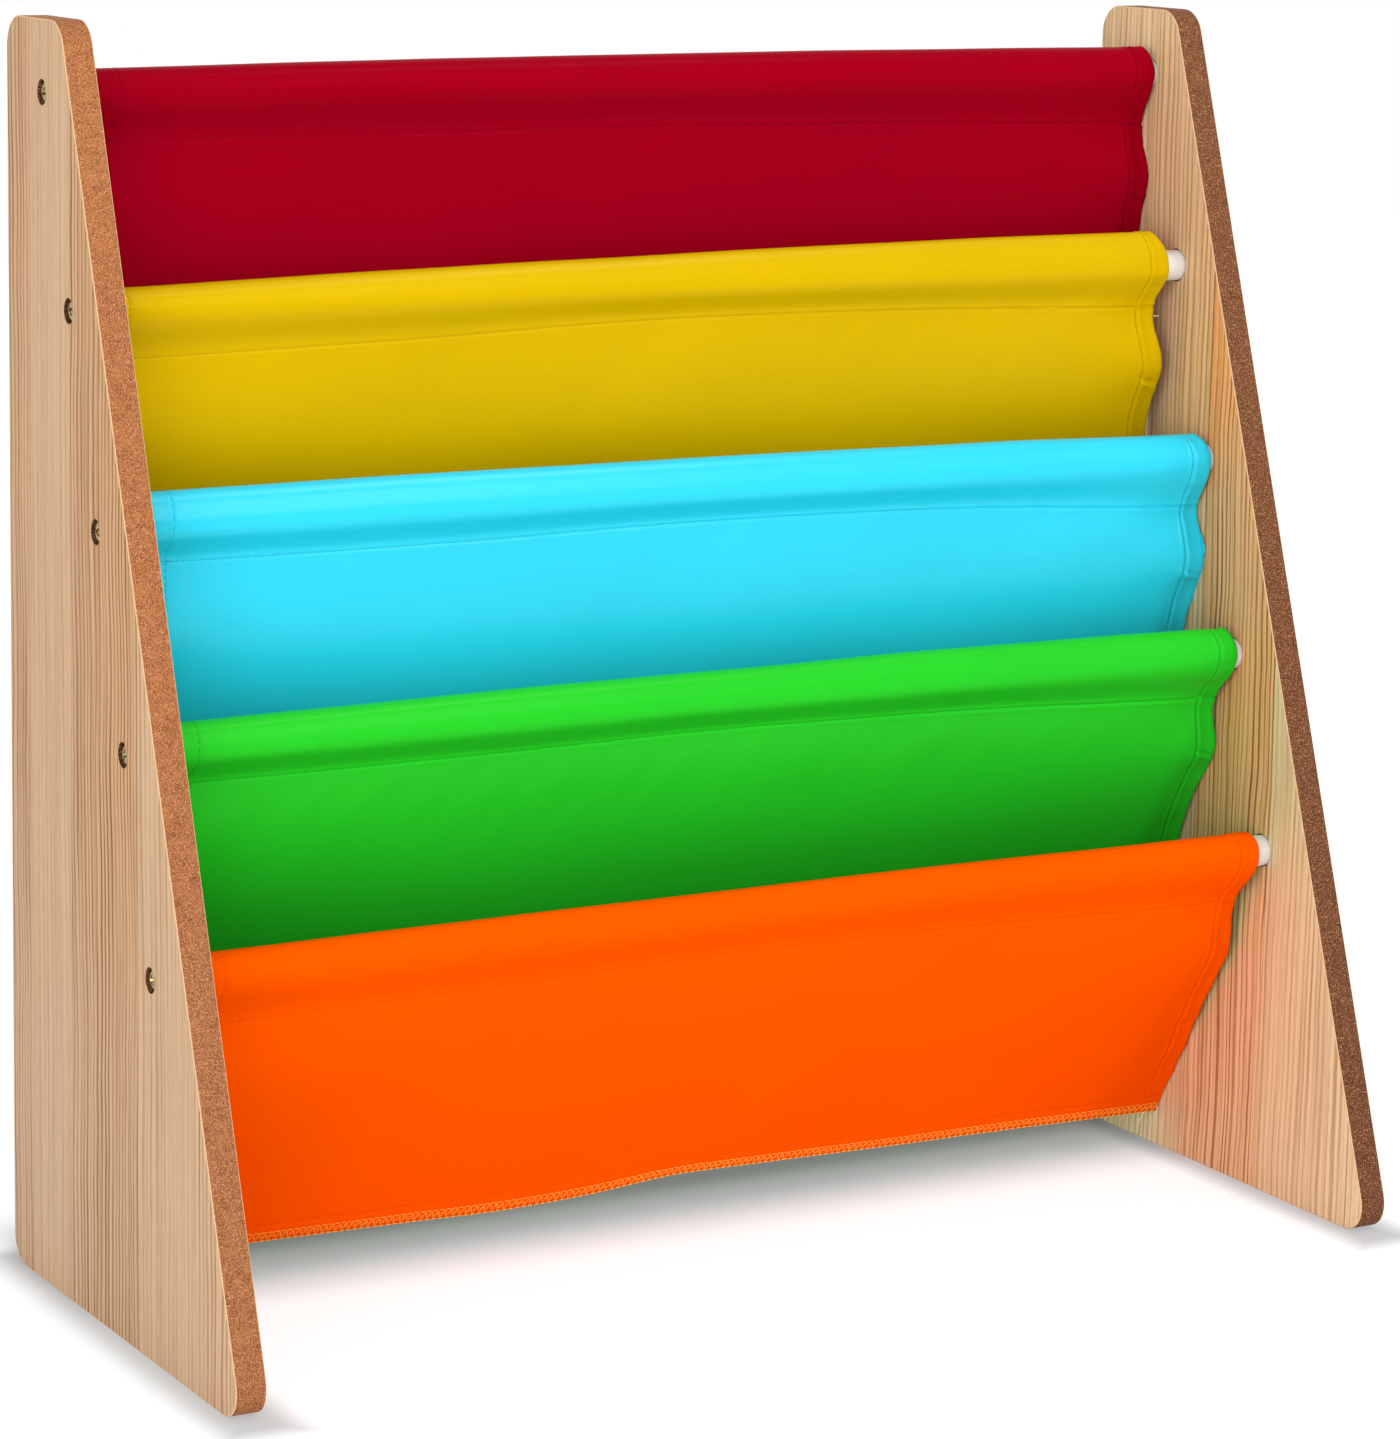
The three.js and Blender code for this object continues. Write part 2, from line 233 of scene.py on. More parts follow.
softbox("softbox_above", 0.5, 0.5, (0.62, -0.45, 1.9), (0, 0, 0.3), 4.5)
softbox("softbox_strip", 0.22, 1.9, (1.0, -2.25, 1.65), (1.0, 0, 0.35), 14)
softbox("softbox_front", 2.0, 2.0, (-1.7, -1.8, 0.9), (0, 0, 0.3), 34)
softbox("softbox_right", 1.4, 1.4, (2.2, -1.4, 1.2), (0, 0, 0.3), 5)

# Side panels: 15 mm pressed board with a wood-grain laminate on both faces. Their edges are sawn and
# sanded bare board with the laminate's pale skin at each arris. Drilled for the rods and the screws.
board = 15 * MM
corner_radius = 15 * MM
arris_ease = 0.6 * MM
shelf_half_width = 320 * MM
foot_depth, top_depth, panel_height = 272 * MM, 66 * MM, 610 * MM
panel_back = 133.05 * MM
sides = (("left", -1), ("right", 1))
rod_places = []
for number in range(1, 6):
    low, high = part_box(f"rod_{number}")
    rod_places.append(((low.y + high.y) / 2, (low.z + high.z) / 2))


def select_only(piece):
    """The one selected object, ready for operators."""
    bpy.ops.object.select_all(action="DESELECT")
    piece.select_set(True)
    bpy.context.view_layer.objects.active = piece


def edit(piece, kind, test, operator, **settings):
    """Runs an operator on the vertices, edges or faces of a piece that pass a test."""
    select_only(piece)
    bpy.ops.object.mode_set(mode="EDIT")
    bpy.ops.mesh.select_mode(type=kind)
    bpy.ops.mesh.select_all(action="DESELECT")
    shape = bmesh.from_edit_mesh(piece.data)
    for part in {"VERT": shape.verts, "EDGE": shape.edges, "FACE": shape.faces}[kind]:
        part.select_set(test(part))
    shape.select_flush_mode()
    bmesh.update_edit_mesh(piece.data)
    operator(**settings)
    bpy.ops.object.mode_set(mode="OBJECT")


def extrude(piece, test, distance):
    """Draws those faces of a piece that pass a test out along X."""
    move = {"value": (distance, 0, 0)}
    edit(piece, "FACE", test, bpy.ops.mesh.extrude_region_move, TRANSFORM_OT_translate=move)


def settle(piece):
    """Puts a piece's place, turn and size into its mesh."""
    select_only(piece)
    bpy.ops.object.transform_apply(location=True, rotation=True, scale=True)


def primitive(operator, scale=(1, 1, 1), **settings):
    """A new object of one of Blender's own shapes, settled."""
    bpy.ops.object.select_all(action="DESELECT")
    operator(**settings)
    piece = bpy.context.object
    piece.scale = scale
    settle(piece)
    return piece


def apply_modifier(piece, kind, **settings):
    modifier = piece.modifiers.new(kind.lower(), kind)
    for name, value in settings.items():
        setattr(modifier, name, value)
    select_only(piece)
    bpy.ops.object.modifier_apply(modifier=modifier.name)


def smooth(piece, degrees=32):
    select_only(piece)
    bpy.ops.object.shade_smooth_by_angle(angle=math.radians(degrees))


def cut_holes(panel, side, radius, from_x, to_x):
    """Drills one round hole per rod, between two distances from the panel's outer face."""
    middle = side * shelf_half_width - side * (from_x + to_x) / 2
    drills = [primitive(
        bpy.ops.mesh.primitive_cylinder_add, vertices=64, radius=radius, depth=to_x - from_x,
        rotation=(0, math.pi / 2, 0), location=(middle, y, z),
    ) for y, z in rod_places]
    for drill in drills:
        drill.select_set(True)
    cutter = bpy.context.view_layer.objects.active = drills[0]
    bpy.ops.object.join()
    apply_modifier(panel, "BOOLEAN", object=cutter, operation="DIFFERENCE", solver="EXACT")
    bpy.data.objects.remove(cutter)


def shape_panel(name, side):
    panel = primitive(
        bpy.ops.mesh.primitive_cube_add, scale=(board, foot_depth, panel_height), size=1,
        location=(side * (shelf_half_width - board / 2), panel_back - foot_depth / 2, panel_height / 2),
    )
    panel.name = name
    # the front edge slopes: its top is drawn back
    drawn_back = foot_depth - top_depth
    edit(panel, "VERT", lambda v: v.co.z > panel_height / 2 and v.co.y < 0,
         bpy.ops.transform.translate, value=(0, drawn_back, 0))
    # four rounded corners of one radius, each cut back as far as its own angle needs
    slope = math.atan(drawn_back / panel_height)
    right_angle = math.pi / 2
    corners = [
        (panel_back, 0, right_angle), (panel_back - foot_depth, 0, right_angle - slope),
        (panel_back, panel_height, right_angle), (panel_back - top_depth, panel_height, right_angle + slope),
    ]
    for y, z, angle in corners:
        reach = corner_radius / math.tan(angle / 2)
        edit(panel, "EDGE", lambda e: all(math.hypot(v.co.y - y, v.co.z - z) < 0.01 * MM for v in e.verts),
             bpy.ops.mesh.bevel, offset=reach, segments=16, profile=0.5, affect="EDGES")
    apply_modifier(panel, "BEVEL", width=arris_ease, segments=3, limit_method="ANGLE",
                   angle_limit=math.radians(60))
    # radius, start and end of the head's seat, the way through for the shank, and the rod's socket
    for radius, from_x, to_x in ((6.2, -1, 4.2), (3.3, 4, 8.2), (8.7, 8, 16)):
        cut_holes(panel, side, radius * MM, from_x * MM, to_x * MM)
    smooth(panel)
    return panel


def laminate(name, tones, seed, joints, figure_stops, tan_stops):
    """Printed wood of edge-glued staves, whose lines crowd and waver in some and run pale in others.
    The stops give, from the back edge to the front, how strong the figure is and how tan the wood.
    The tones are plain and tan wood, then the lines of each."""
    wood = Finish(name)
    _, y, z = wood.parts(wood.place())
    depth = (panel_back - y) / foot_depth
    figure, tan = (
        wood.level(wood.node("ShaderNodeValToRGB", {"Fac": depth}, stops=stops))
        for stops in (figure_stops, tan_stops)
    )
    # the colour is less tan towards the foot
    tan = tan * ((z / panel_height).between(0.1, 0.45) * 0.65 + 0.35)
    # the lines lie a pitch apart, drift slowly and waver where the figure is strong
    line_pitch = 0.0043
    drift = wood.streaks(y * 9, z * 2.2, seed, 1.0) - 0.5
    waver = wood.streaks(y * 16, z * 12, seed + 3) - 0.5
    across = depth * foot_depth + drift * 0.012 + waver * (figure * 0.0065 + 0.0018)
    ring = across / line_pitch + wood.streaks(across * 55, z * 0.9, seed, 1.0) * 3.0
    wave = (ring * math.tau).math("SINE")
    fading = wood.streaks(across * 110, z * 5, seed + 7, 1.0).between(0.3, 0.7)
    fine = wood.streaks(across * 520, z * 6, seed).between(0.42, 0.66)
    pores = wood.streaks(across * 1500, z * 90, seed) - 0.5
    dark = wave.between(-0.1, 1.0) * (figure * 0.78 + 0.12) * (fading * 0.5 + 0.55)
    dark = dark + fine * (figure * 0.18 + 0.20) + pores * 0.52
    for joint in joints:
        gap = (depth - joint).math("ABSOLUTE")
        dark = dark + (1 - gap.between(0.0004, 0.0028)) * 0.45
    plain, tanned, plain_line, tanned_line = tones
    light, deep = wood.mix(tan, plain, tanned), wood.mix(tan, plain_line, tanned_line)
    return wood.surface({
        "Base Color": wood.mix(dark.math("MAXIMUM", 0.0).math("MINIMUM", 1.0), light, deep),
        "Roughness": dark * 0.12 + 0.50,
        "Specular IOR Level": 0.25,
        "Normal": wood.bump(dark * -1.0, 0.12, 0.15 * MM),
    })


def bare_board(name, high_tone, low_tone, side):
    """Sawn pressed board: fine speckle, paler chips, and the laminate's skin along both arrises."""
    edge = Finish(name)
    place = edge.place()
    x, _, z = edge.parts(place)
    x = x * side
    speckle = edge.noise(place, 1350, 2.0, 0.6)
    clump = edge.noise(place, 240)
    elsewhere = edge.level(edge.node("ShaderNodeMapping", {0: place, "Location": (3, 1, 2)}))
    chips = edge.noise(elsewhere, 1500, 3.0)
    tone = edge.mix((z / panel_height).between(0.1, 0.9), low_tone, high_tone)
    darker = edge.mix(1.0, tone, (0.52, 0.44, 0.38, 1), "MULTIPLY")
    paler = edge.mix(0.34, tone, linear(238, 182, 126))
    mottled = edge.mix((speckle * 0.75 + clump * 0.25).between(0.40, 0.58), darker, tone)
    chipped = edge.mix(chips.between(0.53, 0.64), mottled, paler)
    skin_width = 0.45 * MM
    outer_skin = x.math("GREATER_THAN", shelf_half_width - skin_width)
    inner_skin = x.math("LESS_THAN", shelf_half_width - board + skin_width)
    return edge.surface({
        "Base Color": edge.mix(outer_skin.math("MAXIMUM", inner_skin), chipped, linear(222, 182, 140)),
        "Roughness": speckle * 0.2 + 0.6,
        "Specular IOR Level": 0.25,
        "Normal": edge.bump(speckle + clump * 0.6, 0.5, 0.3 * MM),
    })


# the walls of the holes get the bare board painted dark, a painted shade for the recesses
shaded_bore_tone = linear(72, 48, 32)
# the right panel's bare edge is painted darker than the left's, a painted shade; each edge is also a little
# darker towards its foot
edge_tones_with_painted_shade = {
    "left": (linear(174, 107, 60), linear(166, 103, 61)),
    "right": (linear(118, 66, 32), linear(106, 57, 27)),
}
# the right panel's laminate is painted paler than the left's, painted light making up for the weaker light on
# its inner face
wood_tones_with_painted_light = {
    "left": (linear(208, 174, 138), linear(204, 156, 106), linear(142, 96, 62), linear(130, 76, 38)),
    "right": (linear(224, 208, 168), linear(240, 172, 108), linear(154, 114, 70), linear(150, 82, 36)),
}
# for each panel a seed, the joints between staves, and the stops of the figure and of the tan
prints = {
    "left": (0.37, (0.283, 0.57, 0.83), [
        (0, 0.75), (0.08, 0.7), (0.11, 0.1), (0.28, 0.12), (0.286, 0.8), (0.5, 0.9),
        (0.567, 0.6), (0.573, 0.35), (0.82, 0.25), (0.84, 0.5), (1, 0.4),
    ], [
        (0, 0.6), (0.09, 0.5), (0.12, 0.2), (0.28, 0.15), (0.286, 0.55), (0.5, 0.75),
        (0.567, 0.7), (0.573, 0.15), (0.82, 0.2), (0.84, 0.4), (1, 0.3),
    ]),
    "right": (2.13, (0.13, 0.405, 0.645, 0.93), [
        (0, 0.5), (0.127, 0.4), (0.133, 0.45), (0.402, 0.5), (0.408, 0.75),
        (0.642, 0.9), (0.648, 0.45), (0.927, 0.5), (0.933, 0.3), (1, 0.3),
    ], [
        (0, 0.4), (0.127, 0.4), (0.133, 0.35), (0.402, 0.45), (0.408, 0.9),
        (0.642, 0.8), (0.648, 0.25), (0.927, 0.2), (0.933, 0.15), (1, 0.15),
    ]),
}
for side_name, side in sides:
    panel = shape_panel(f"panel_{side_name}", side)
    panel.data.materials.append(laminate(f"laminate_{side_name}", wood_tones_with_painted_light[side_name], *prints[side_name]))
    panel.data.materials.append(bare_board(f"board_edge_{side_name}", *edge_tones_with_painted_shade[side_name], side))
    panel.data.materials.append(bare_board(f"board_bore_painted_shade_{side_name}", shaded_bore_tone, shaded_bore_tone, side))
    middle = shelf_half_width - board / 2
    for face in panel.data.polygons:
        outermost = max(abs(abs(panel.data.vertices[v].co.x) - middle) for v in face.vertices)
        on_face = abs(face.normal.x) > 0.99 and abs(outermost - board / 2) < 0.01 * MM
        in_bore = min(math.hypot(face.center.y - y, face.center.z - z) for y, z in rod_places) < 9.5 * MM
        face.material_index = 0 if on_face else 2 if in_bore else 1
    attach(panel, "root")
    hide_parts(f"side_panel_{side_name}")

# Threaded inserts: turned brass sleeves glued into the rods' ends, out of sight once the shelf is
# together. The solids of the frame have their shape.
brass = Finish("insert_brass")
turning = brass.noise(brass.place(), 900)
insert_brass = brass.surface({
    "Base Color": brass.mix(turning, linear(196, 160, 92), linear(214, 182, 118)),
    "Metallic": 1.0,
    "Roughness": turning * 0.2 + 0.3,
})
for number in range(1, 6):
    for side_name, side in sides:
        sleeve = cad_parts[f"insert_{number}_{side_name}"]
        sleeve.data.materials.clear()
        sleeve.data.materials.append(insert_brass)

# Rods: 16 mm turned dowels with satin white lacquer, each end set into a blind hole of a panel and
# clamped there by its screw.
lacquer = Finish("rod_white")
along_rod, aside_rod, up_rod = lacquer.parts(lacquer.place())
brushing = lacquer.streaks(along_rod * 30, aside_rod * 700, up_rod * 700)
rod_white = lacquer.surface({
    "Base Color": lacquer.mix(brushing, linear(236, 235, 232), linear(246, 246, 244)),
    "Roughness": brushing * 0.12 + 0.28,
    "Normal": lacquer.bump(brushing, 0.15, 0.1 * MM),
})
rod_radius = 8 * MM
bore_depth = 20 * MM
for number, (y, z) in enumerate(rod_places, start=1):
    low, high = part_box(f"rod_{number}")
    rod = primitive(
        bpy.ops.mesh.primitive_cylinder_add, vertices=96, radius=rod_radius, depth=high.x - low.x,
        rotation=(0, math.pi / 2, 0), location=(0, y, z),
    )
    rod.name = f"dowel_{number}"
    # both ends are rounded over, then bored for the threaded inserts
    rim_x = high.x - 1 * MM
    edit(rod, "EDGE", lambda e: all(abs(v.co.x) > rim_x for v in e.verts),
         bpy.ops.mesh.bevel, offset=0.8 * MM, segments=4, profile=0.5, affect="EDGES")
    edit(rod, "FACE", lambda f: abs(f.normal.x) > 0.99,
         bpy.ops.mesh.inset, thickness=2.1 * MM, use_individual=True)
    for direction in (-1, 1):
        extrude(rod, lambda f: f.normal.x * direction > 0.99 and len(f.verts) > 8, -direction * bore_depth)
    smooth(rod)
    rod.data.materials.append(rod_white)
    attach(rod, "root")
    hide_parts(f"rod_{number}")

# Slings: hemmed lengths of close-woven polyester. The top of each is folded round its rod and stitched
# into a casing, and its lower end is sewn to the sling in front, which makes a pocket.
cloth = 0.6 * MM
hem_thickness = 1.3 * MM
hem_stitching = 11.2 * MM
sling_width = 600 * MM
solid_half = 0.6 * MM
casing_radius = 9.7 * MM
casing_depth = 24 * MM
casing_turn = 3 * MM
pocket_fall = 151 * MM
seam_allowance = 10 * MM
side_play = 5 * MM
# crests and seams are heights above and depths below the rod, in millimetres, from left to right;
# the right end is drawn in by the five values of pull, from the rod to 120 mm below it, and its top
# corner by some more; its hem has a crease at some depth below the casing's seam
slings = [
    dict(name="red", lean=0.09, slide=0.75, nip=0, bulge=1.4, pull=(0.5, 0.2, -0.8, 0, 0), corner=3,
         crest=(10.9, 12.6, 13.8, 14.4, 13.8), seam=(24, 23.5, 22.5, 24, 27), crease=36),
    dict(name="yellow", lean=0.016, slide=-0.9, nip=0.5, bulge=1.15, pull=(1.2, 2.8, 0, 0, 0), corner=7,
         crest=(9.9, 13.3, 15.8, 18.0, 18.3), seam=(23.6, 20.7, 16.3, 17.3, 21.5), crease=40),
    dict(name="blue", lean=-0.004, slide=0.75, nip=0.9, bulge=1.05, pull=(0.5, -0.8, -0.5, 0, 0), corner=4,
         crest=(17.2, 17.7, 17.1, 16.1, 13.4), seam=(16.2, 16.5, 14.8, 17.3, 25.3), crease=37),
    dict(name="green", lean=0.28, slide=0.6, nip=0.7, bulge=1.05, pull=(1.2, 0.8, -0.8, 0, 0), corner=3,
         crest=(13.1, 14.7, 15.3, 15.9, 14.4), seam=(17.8, 17.8, 16.4, 19, 25.3), crease=34),
    dict(name="orange", lean=0.32, slide=0.4, nip=0.55, bulge=0.5, pull=(4.5, 4.3, 1.2, -0.5, -2.4), corner=1,
         crest=(9.9, 10.6, 11.1, 10.9, 10), seam=(28.2, 27.3, 24.1, 26.1, 30.2), crease=30),
]
side_limit = shelf_half_width - board - 0.5 * MM
# the free lower edge of the front sling, in millimetres above the floor, from left to right
lower_edge = (21.2, 20.7, 19.9, 19, 18, 19.3, 23.2, 22.9, 22.1, 21.4, 21, 20.1, 19.3)
pocket_seams = [
    (rod_places[index + 1][0] + setback * pocket_fall, rod_places[index + 1][1] - pocket_fall)
    for index, setback in enumerate((0.083, 0.137, 0.336, 0.514))
]


def swept(start, leaving, end, arriving, s):
    """A soft curve from start to end, for s from 0 to 1, that leaves and arrives as told."""
    return (
        start * (2 * s**3 - 3 * s**2 + 1) + leaving * (s**3 - 2 * s**2 + s)
        + end * (3 * s**2 - 2 * s**3) + arriving * (s**3 - s**2)
    )


class HangLine:
    """How a sling hangs in side view: its middle line's place and slope at each height."""

    def __init__(self, index, front):
        self.rod, self.lean, self.front = rod_places[index], slings[index]["lean"], front
        reach = casing_depth / math.hypot(1, self.lean)
        self.tip = (self.rod[0] + self.lean * reach, self.rod[1] - reach)
        knots = [(*self.tip, self.lean)]
        if front:
            seam_z = pocket_seams[index][1]
            last = (front.beside(seam_z), seam_z, front.slope(seam_z))
        else:
            seam = pocket_seams[index - 1]
            last = (*seam, (seam[0] - self.tip[0]) / (self.tip[1] - seam[1]))
        if front and index > 0:
            seam = pocket_seams[index - 1]
            before = (seam[0] - self.tip[0]) / (self.tip[1] - seam[1])
            after = (last[0] - seam[0]) / (seam[1] - last[1])
            knots.append((*seam, (before + after) / 2))
        self.knots = knots + [last]
        self.end = last[1] - seam_allowance

    def y(self, z):
        tip, last = self.knots[0], self.knots[-1]
        if z >= tip[1]:
            return tip[0] - self.lean * (z - tip[1])
        if z <= last[1]:
            return self.front.beside(z) if self.front else last[0] + last[2] * (last[1] - z)
        below = next(k for k in range(1, len(self.knots)) if z >= self.knots[k][1])
        (y0, z0, slope0), (y1, z1, slope1) = self.knots[below - 1], self.knots[below]
        run = z0 - z1
        return swept(y0, slope0 * run, y1, slope1 * run, (z0 - z) / run)

    def slope(self, z):
        return (self.y(z - solid_half) - self.y(z + solid_half)) / (2 * solid_half)

    def beside(self, z):
        """Where the sling behind this one lies against it."""
        return self.y(z) + 1.5 * MM * math.hypot(1, self.slope(z))


hang_lines = [None] * 5
for index in range(4, -1, -1):
    hang_lines[index] = HangLine(index, hang_lines[index + 1] if index < 4 else None)


def side_path(line):
    """The outer face of one sling in side view, from the folded-in end of its casing to its lower edge,
    and how far along it the casing's back seam, its front seam and the pocket seams are."""
    pull = math.atan(line.lean)
    down = Vector((math.sin(pull), -math.cos(pull)))
    back = Vector((math.cos(pull), math.sin(pull)))
    rod, tip = Vector(line.rod), Vector(line.tip)
    opening = math.acos(casing_radius / casing_depth)
    fold_radius = cloth + 0.05 * MM
    tucked = 2 * fold_radius

    def around(angle):
        return rod + casing_radius * Vector((math.sin(pull + angle), -math.cos(pull + angle)))

    back_seam = tip + back * (tucked + 0.05 * MM)
    back_top = around(opening)
    rising = (back_top - back_seam).normalized()
    inward = Vector((-rising.y, rising.x))
    if inward.dot(back) > 0:
        inward.negate()
    # the raw end lies inside the casing, runs down past the seam, and turns back up to it
    points = [back_seam + inward * tucked + rising * height * MM for height in (8, 6, 4, 2, 1)]
    points += [back_seam - back * tucked + down * casing_turn * share for share in (0, 0.5, 1)]
    for step in range(1, 8):
        angle = math.pi * step / 8
        points.append(
            back_seam + down * casing_turn - back * fold_radius
            + (down * math.sin(angle) - back * math.cos(angle)) * fold_radius
        )
    points += [back_seam + down * casing_turn * share for share in (1, 0.5, 0)]
    mark_back = len(points) - 1
    run = (back_top - back_seam).length
    points += [back_seam + rising * run * k / 12 for k in range(1, 12)]
    foremost = opening + (2 * math.pi - 2 * opening) * 0.9
    points += [around(opening + (foremost - opening) * k / 44) for k in range(45)]
    # the front leaves the rod and swings round into the hanging cloth
    front_seam = Vector((line.y(tip.y) - solid_half * math.hypot(1, line.lean), tip.y))
    front_top = points[-1]
    swing = (front_seam - front_top).length
    leaving = Vector((math.cos(pull + foremost), math.sin(pull + foremost))) * swing
    points += [swept(front_top, leaving, front_seam, down * swing, k / 16) for k in range(1, 17)]
    mark_front = len(points) - 1
    marks = []
    z = tip.y
    while z > line.end:
        z = max(z - 1 * MM, line.end)
        for seam in line.knots[1:]:
            if z <= seam[1] < z + 1 * MM:
                marks.append(len(points))
        points.append(Vector((line.y(z) - solid_half * math.hypot(1, line.slope(z)), z)))
    along = [0.0]
    for before, after in zip(points, points[1:]):
        along.append(along[-1] + (after - before).length)
    return points, along, along[mark_back], along[mark_front], [along[k] for k in marks]


def spaced(end, step, marks, close):
    """Places from 0 to end about a step apart, and closer beside each mark."""
    offsets = [side * close * k for k in (0, 1, 2, 3.2, 5, 8) for side in (-1, 1)]
    wanted = {0.0, end} | {mark + offset for mark in marks for offset in offsets}
    kept = [0.0]
    for place in sorted(w for w in wanted if 0 < w < end):
        if place - kept[-1] > 0.3 * close and end - place > 0.3 * close:
            kept.append(place)
    kept.append(end)
    filled = []
    for before, after in zip(kept, kept[1:]):
        parts = max(1, math.ceil((after - before) / step))
        filled += [before + (after - before) * k / parts for k in range(parts)]
    return filled + [end]


def cell(places, place):
    """Which of the rising places ends the gap that a place lies in."""
    return min(max(1, bisect_left(places, place)), len(places) - 1)


def wander(place, period, seed):
    """A smooth random value, about -1 to 1, that changes over a period."""
    return noise.noise(Vector((place / period + 7.3 * seed, 3.1 * seed, 1.7))) * 1.6


def bump_at(distance, centre, width):
    return math.exp(-((distance - centre) / width) ** 2 / 2)


def near(distance, width):
    return math.exp(-((distance / width) ** 2))


def through(values, share):
    """A smooth curve through evenly spaced values, the first at share -1 and the last at 1."""
    place = min(max((share + 1) / 2, 0), 1) * (len(values) - 1)
    first = min(int(place), len(values) - 2)
    t = place - first
    a, b = values[first], values[first + 1]
    before, after = values[max(first - 1, 0)], values[min(first + 2, len(values) - 1)]
    bend = t * (2 * before - 5 * a + 4 * b - after + t * (3 * (a - b) + after - before))
    return a + 0.5 * t * (b - before + bend)


class Sling:
    """The shape of one sling as a grid: rows along its length, columns across it."""

    def __init__(self, index):
        self.index, self.form, self.line = index, slings[index], hang_lines[index]
        points, along, self.back_seam, self.front_seam, self.pocket_seams = side_path(self.line)
        self.length = along[-1]
        self.crease = self.front_seam + self.form["crease"] * MM
        # the rows lie closer at the seams, in the turn of the casing's end, and round the rod
        marks = [self.back_seam, self.front_seam, self.crease, *self.pocket_seams]
        rows = spaced(self.length, 4.2 * MM, marks, 0.6 * MM)
        turn = [self.back_seam - casing_turn - k * 0.25 * MM for k in range(9)]
        arc = [self.back_seam + (self.front_seam - self.back_seam) * k / 46 for k in range(1, 46)]
        rows = sorted(set(rows + turn + arc))
        self.rows = [rows[0]]
        for row in rows[1:]:
            if row - self.rows[-1] > 0.18 * MM:
                self.rows.append(row)
        # the columns lie closer in the hems
        half = sling_width / 2
        hem_columns = (0, 0.12, 0.35, 0.7, 1.3, 2.6, 4.2, 5.8, 7.2, 8.2, 9, 9.8, 10.5, 11.2, 11.9,
                       12.6, 13.2, 13.9, 14.8, 16.2, 18.5, 21.5, 25)
        middle_from, steps = 28 * MM, 74
        edge = [e * MM for e in hem_columns]
        edge += [middle_from + (half - middle_from) * k / steps for k in range(steps + 1)]
        self.columns = [-half + e for e in edge] + [half - e for e in reversed(edge[:-1])]
        base = []
        for row in self.rows:
            after = cell(along, row)
            share = (row - along[after - 1]) / (along[after] - along[after - 1])
            base.append(points[after - 1].lerp(points[after], share))
        self.grid = [[self.hung(point, x) for x in self.columns] for point in base]
        self.normals = self.outward()
        for r, row in enumerate(self.rows):
            for c, x in enumerate(self.columns):
                self.grid[r][c] += self.normals[r][c] * self.relief(row, x)
        self.normals = self.outward()

    def hung(self, point, x):
        """The place of a point of the side view, at one place across the cloth."""
        share = x / (sling_width / 2)
        drop = self.line.rod[1] - point.y
        from_edge = sling_width / 2 - abs(x)
        # the hems ripple below the casing, forwards and sideways, the left one less
        fade = near(from_edge, 27 * MM) * (1 if x > 0 else 0.35)
        nip = self.form["nip"] * bump_at(drop, 1.22 * casing_depth, 0.32 * casing_depth) * fade
        bulge = self.form["bulge"] * bump_at(drop, 2.2 * casing_depth, 0.49 * casing_depth) * fade
        seed = self.index + (2.5 if x > 0 else 0.5)
        outwards = math.copysign(1, x)
        stray = 0.7 * MM * wander(drop, 38 * MM, seed) * near(from_edge, 30 * MM) * outwards
        stray += 0.35 * MM * wander(drop, 7 * MM, seed + 20) * near(from_edge, 9 * MM)
        stray += (1.1 * bulge - 0.9 * nip) * MM * outwards
        rounding = max(0, -drop / casing_radius) ** 2 * near(from_edge, 14 * MM) if x > 0 else 0
        stray -= through(self.form["pull"], drop / (60 * MM) - 1) * MM * max(0, share)
        stray -= self.form["corner"] * MM * rounding
        # the casing stands higher or lower on its rod from one end to the other, and so does its seam
        seam_shift = through(self.form["seam"], share) * MM - casing_depth
        if drop < 0:
            fallen = drop * through(self.form["crest"], share) * MM / casing_radius
            leaning = 0
        else:
            held = min(drop / casing_depth, max(0, 1 - (drop - casing_depth) / (90 * MM)))
            fallen = drop + seam_shift * held
            leaning = self.form["lean"] * seam_shift * held
        return Vector((
            max(-side_limit, min(x + self.form["slide"] * side_play + stray, side_limit)),
            point.x + leaning + (3.5 * nip - 5 * bulge) * MM,
            self.line.rod[1] - fallen + self.bottom_wave(drop, share),
        ))

    def bottom_wave(self, drop, share):
        """The lowest seam isn't level: the free bottom edge of the front sling rises and falls."""
        height = self.line.rod[1] - drop
        if self.index < 3 or height > 80 * MM:
            return 0
        swell = through(lower_edge, share) * MM - 20 * MM
        return swell * min(1, max(0, 1 - (height - 20 * MM) / (60 * MM))) ** 2

    def outward(self):
        """The normal at each place of the grid."""
        last_row, last_column = len(self.rows) - 1, len(self.columns) - 1

        def normal(r, c):
            down = self.grid[min(r + 1, last_row)][c] - self.grid[max(r - 1, 0)][c]
            across = self.grid[r][min(c + 1, last_column)] - self.grid[r][max(c - 1, 0)]
            return down.cross(across).normalized()

        return [[normal(r, c) for c in range(last_column + 1)] for r in range(last_row + 1)]

    def relief(self, row, x):
        """How far the face stands out from its plain shape: seams, hems, puckers and slack."""
        seed = self.index * 3.7 + 1
        from_edge = sling_width / 2 - abs(x)
        side = 1 if x > 0 else 0
        height = 0.0
        # the hem's folded edge is round
        fold = 0.7 * MM
        if from_edge < fold:
            height -= fold - math.sqrt(fold ** 2 - (fold - from_edge) ** 2)
        # where it is sewn to another sling the cloth lies flat
        gap = min(abs(row - seam) for seam in self.pocket_seams)
        free = 0 if row > self.pocket_seams[-1] else min(1, max(0, gap / MM - 11) / 16)
